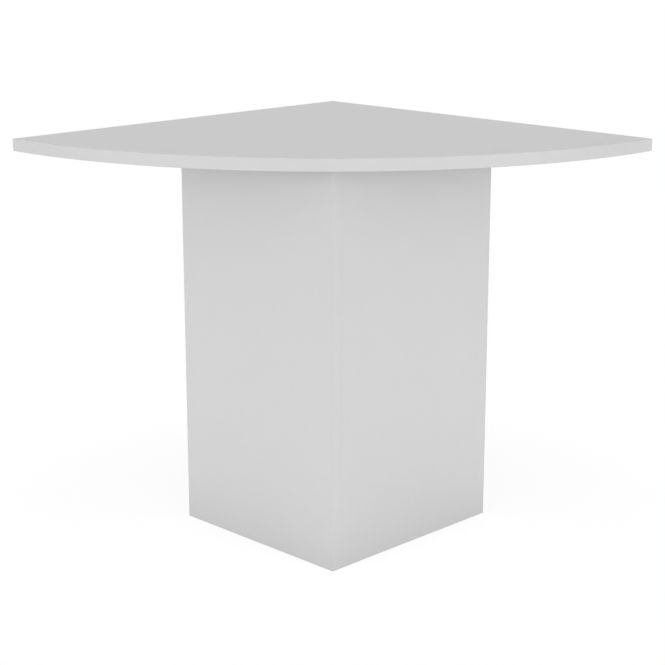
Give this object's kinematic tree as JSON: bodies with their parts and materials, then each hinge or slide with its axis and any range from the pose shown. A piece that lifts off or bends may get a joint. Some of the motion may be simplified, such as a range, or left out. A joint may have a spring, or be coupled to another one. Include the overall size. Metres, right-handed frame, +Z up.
{
  "type": "corner table",
  "caption": "Corner table: a quarter-circle top of white melamine board on a closed square panel column, with levelling feet hidden inside the column.",
  "frame": {"origin": "on the floor, under the middle of the square that the quarter-circle top fits in", "axes": "+Z up; the straight edges of the top face -X and +Y, the arc faces +X and -Y, and the front panel of the column faces -Y"},
  "size_m": [0.8, 0.8, 0.74],
  "materials": {
    "white_melamine_board": "matt white melamine on chipboard",
    "white_edge_band": "matt white ABS band",
    "die_cast_zinc": "die-cast zinc, dull",
    "zinc_plated_steel": "bright zinc-plated steel",
    "beech": "fluted beech",
    "white_nylon": "moulded nylon",
    "black_plastic": "moulded black plastic"
  },
  "bodies": {
    "carcass": {"table_top": "white_melamine_board", "panel_front": "white_melamine_board", "panel_left": "white_melamine_board", "panel_right": "white_melamine_board", "panel_back": "white_melamine_board", "top_band_arc": "white_edge_band", "top_band_left": "white_edge_band", "top_band_back": "white_edge_band", "band_front_panel_left": "white_edge_band", "band_front_panel_right": "white_edge_band", "band_left_panel_back": "white_edge_band", "band_right_panel_back": "white_edge_band", "foot_band_front": "white_edge_band", "foot_band_left": "white_edge_band", "foot_band_right": "white_edge_band", "foot_band_back": "white_edge_band", "cam_front_left_lower": "die_cast_zinc", "cam_front_left_upper": "die_cast_zinc", "cam_front_right_lower": "die_cast_zinc", "cam_front_right_upper": "die_cast_zinc", "cam_back_left_lower": "die_cast_zinc", "cam_back_left_upper": "die_cast_zinc", "cam_back_right_lower": "die_cast_zinc", "cam_back_right_upper": "die_cast_zinc", "cam_top_front": "die_cast_zinc", "cam_top_back": "die_cast_zinc", "cam_top_left": "die_cast_zinc", "cam_top_right": "die_cast_zinc", "cam_bolt_front_left_lower": "zinc_plated_steel", "cam_bolt_front_left_upper": "zinc_plated_steel", "cam_bolt_front_right_lower": "zinc_plated_steel", "cam_bolt_front_right_upper": "zinc_plated_steel", "cam_bolt_back_left_lower": "zinc_plated_steel", "cam_bolt_back_left_upper": "zinc_plated_steel", "cam_bolt_back_right_lower": "zinc_plated_steel", "cam_bolt_back_right_upper": "zinc_plated_steel", "cam_bolt_top_front": "zinc_plated_steel", "cam_bolt_top_back": "zinc_plated_steel", "cam_bolt_top_left": "zinc_plated_steel", "cam_bolt_top_right": "zinc_plated_steel", "dowel_front_left": "beech", "dowel_front_right": "beech", "dowel_back_left": "beech", "dowel_back_right": "beech", "dowel_top_front_left": "beech", "dowel_top_front_right": "beech", "dowel_top_back_left": "beech", "dowel_top_back_right": "beech", "leveller_bracket_front_left": "white_nylon", "leveller_bracket_front_right": "white_nylon", "leveller_bracket_back_right": "white_nylon", "leveller_bracket_back_left": "white_nylon"},
    "pad_front_left": {"leveller_pad_front_left": "black_plastic"},
    "stud_front_left": {"leveller_stud_front_left": "zinc_plated_steel"},
    "pad_front_right": {"leveller_pad_front_right": "black_plastic"},
    "stud_front_right": {"leveller_stud_front_right": "zinc_plated_steel"},
    "pad_back_right": {"leveller_pad_back_right": "black_plastic"},
    "stud_back_right": {"leveller_stud_back_right": "zinc_plated_steel"},
    "pad_back_left": {"leveller_pad_back_left": "black_plastic"},
    "stud_back_left": {"leveller_stud_back_left": "zinc_plated_steel"}
  },
  "joints": [
    {"name": "leveller_front_left_rise", "type": "slide", "parent": "carcass", "child": "pad_front_left", "axis": [0, 0, -1], "range_m": [0, 0.012]},
    {"name": "leveller_front_left_turn", "type": "hinge", "parent": "pad_front_left", "child": "stud_front_left", "pos_m": [-0.20789, -0.09411, 0.02], "axis": [0, 0, -1], "range_deg": [0, 3456]},
    {"name": "leveller_front_right_rise", "type": "slide", "parent": "carcass", "child": "pad_front_right", "axis": [0, 0, -1], "range_m": [0, 0.012]},
    {"name": "leveller_front_right_turn", "type": "hinge", "parent": "pad_front_right", "child": "stud_front_right", "pos_m": [0.09411, -0.09411, 0.02], "axis": [0, 0, -1], "range_deg": [0, 3456]},
    {"name": "leveller_back_right_rise", "type": "slide", "parent": "carcass", "child": "pad_back_right", "axis": [0, 0, -1], "range_m": [0, 0.012]},
    {"name": "leveller_back_right_turn", "type": "hinge", "parent": "pad_back_right", "child": "stud_back_right", "pos_m": [0.09411, 0.22989, 0.02], "axis": [0, 0, -1], "range_deg": [0, 3456]},
    {"name": "leveller_back_left_rise", "type": "slide", "parent": "carcass", "child": "pad_back_left", "axis": [0, 0, -1], "range_m": [0, 0.012]},
    {"name": "leveller_back_left_turn", "type": "hinge", "parent": "pad_back_left", "child": "stud_back_left", "pos_m": [-0.20789, 0.22989, 0.02], "axis": [0, 0, -1], "range_deg": [0, 3456]}
  ],
  "couplings": [
    {"joint": "leveller_front_left_turn", "follows": "leveller_front_left_rise", "rad_per_m": 5026.5},
    {"joint": "leveller_front_right_turn", "follows": "leveller_front_right_rise", "rad_per_m": 5026.5},
    {"joint": "leveller_back_right_turn", "follows": "leveller_back_right_rise", "rad_per_m": 5026.5},
    {"joint": "leveller_back_left_turn", "follows": "leveller_back_left_rise", "rad_per_m": 5026.5}
  ]
}
